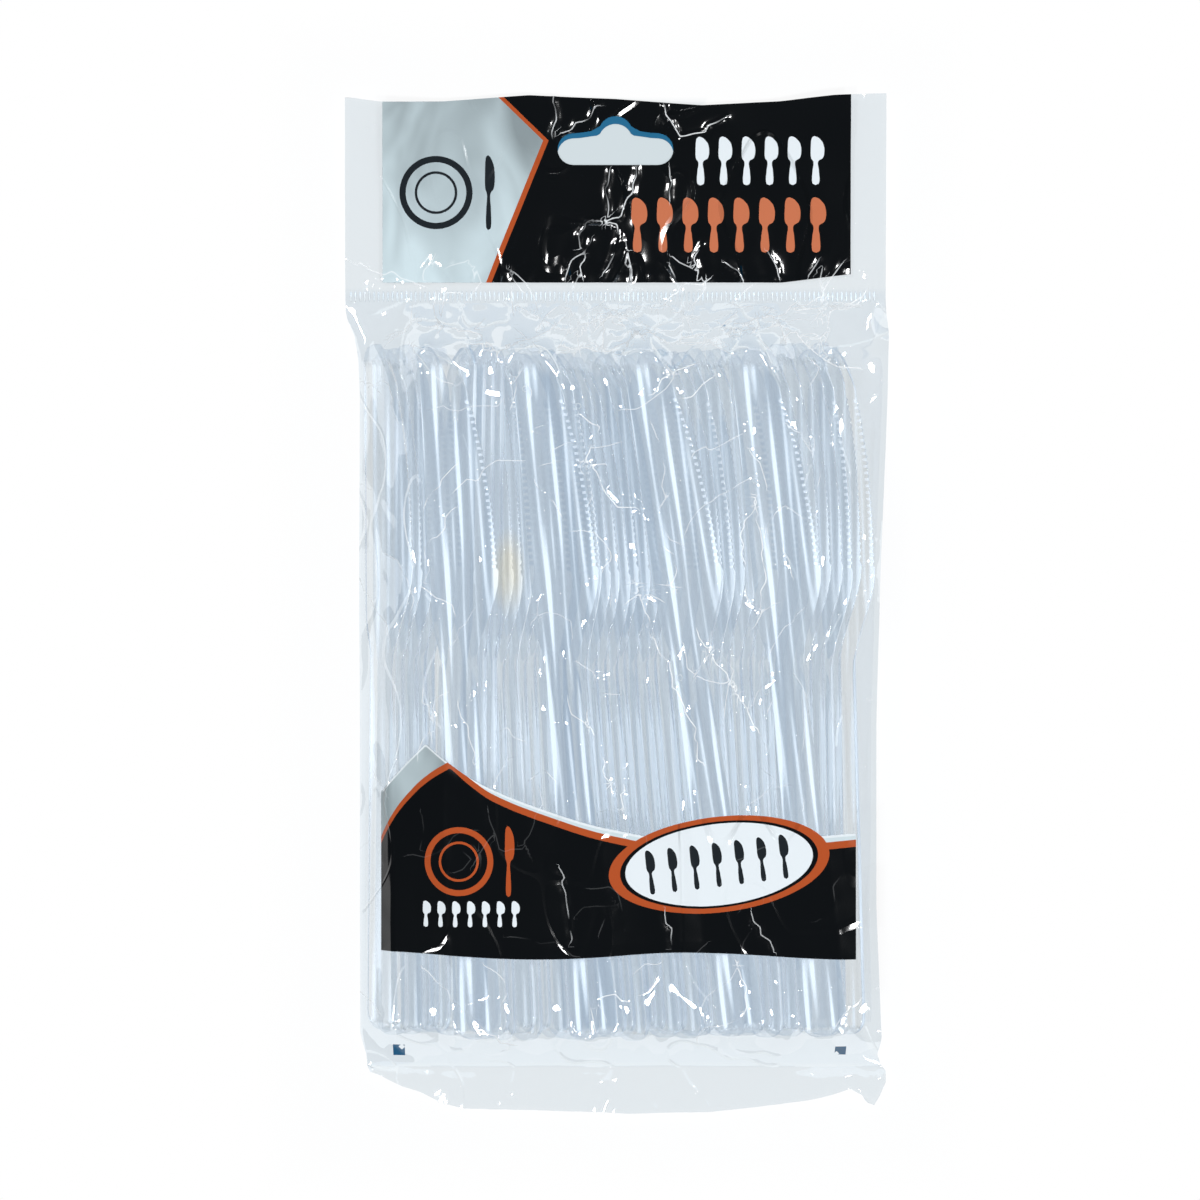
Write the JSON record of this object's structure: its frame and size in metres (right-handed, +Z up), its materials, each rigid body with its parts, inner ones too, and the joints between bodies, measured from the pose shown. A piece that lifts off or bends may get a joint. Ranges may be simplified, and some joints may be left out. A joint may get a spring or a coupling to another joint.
{
  "type": "plastic cutlery pack",
  "caption": "Flat header bag of clear film with a hang slot, printed header and lower band, holding a shingled row of clear moulded plastic table knives.",
  "frame": {"origin": "on the floor under the middle of the pack, which lies on its back", "axes": "+Y along the pack towards the hang slot, +X across it to the right as seen from the front, +Z up out of its front"},
  "size_m": [0.1458, 0.2748, 0.0181],
  "materials": {
    "film": "clear, wrinkled, glossy",
    "knife_plastic": "clear, polished"
  },
  "bodies": {
    "root": {"film_bag": "film", "knife_01": "knife_plastic", "knife_02": "knife_plastic", "knife_03": "knife_plastic", "knife_04": "knife_plastic", "knife_05": "knife_plastic", "knife_06": "knife_plastic", "knife_07": "knife_plastic", "knife_08": "knife_plastic", "knife_09": "knife_plastic", "knife_10": "knife_plastic", "knife_11": "knife_plastic", "knife_12": "knife_plastic", "knife_13": "knife_plastic", "knife_14": "knife_plastic", "knife_15": "knife_plastic", "knife_16": "knife_plastic", "knife_17": "knife_plastic", "knife_18": "knife_plastic", "knife_19": "knife_plastic", "knife_20": "knife_plastic", "knife_21": "knife_plastic", "knife_22": "knife_plastic", "knife_23": "knife_plastic", "knife_24": "knife_plastic", "knife_25": "knife_plastic", "knife_26": "knife_plastic", "knife_27": "knife_plastic", "knife_28": "knife_plastic", "knife_29": "knife_plastic", "knife_30": "knife_plastic", "knife_31": "knife_plastic", "knife_32": "knife_plastic", "knife_33": "knife_plastic", "knife_34": "knife_plastic", "knife_35": "knife_plastic", "knife_36": "knife_plastic", "knife_37": "knife_plastic", "knife_38": "knife_plastic", "knife_39": "knife_plastic", "knife_40": "knife_plastic", "knife_41": "knife_plastic", "knife_42": "knife_plastic", "knife_43": "knife_plastic", "knife_44": "knife_plastic", "knife_45": "knife_plastic", "knife_46": "knife_plastic", "knife_47": "knife_plastic", "knife_48": "knife_plastic", "knife_49": "knife_plastic", "knife_50": "knife_plastic"}
  },
  "joints": []
}
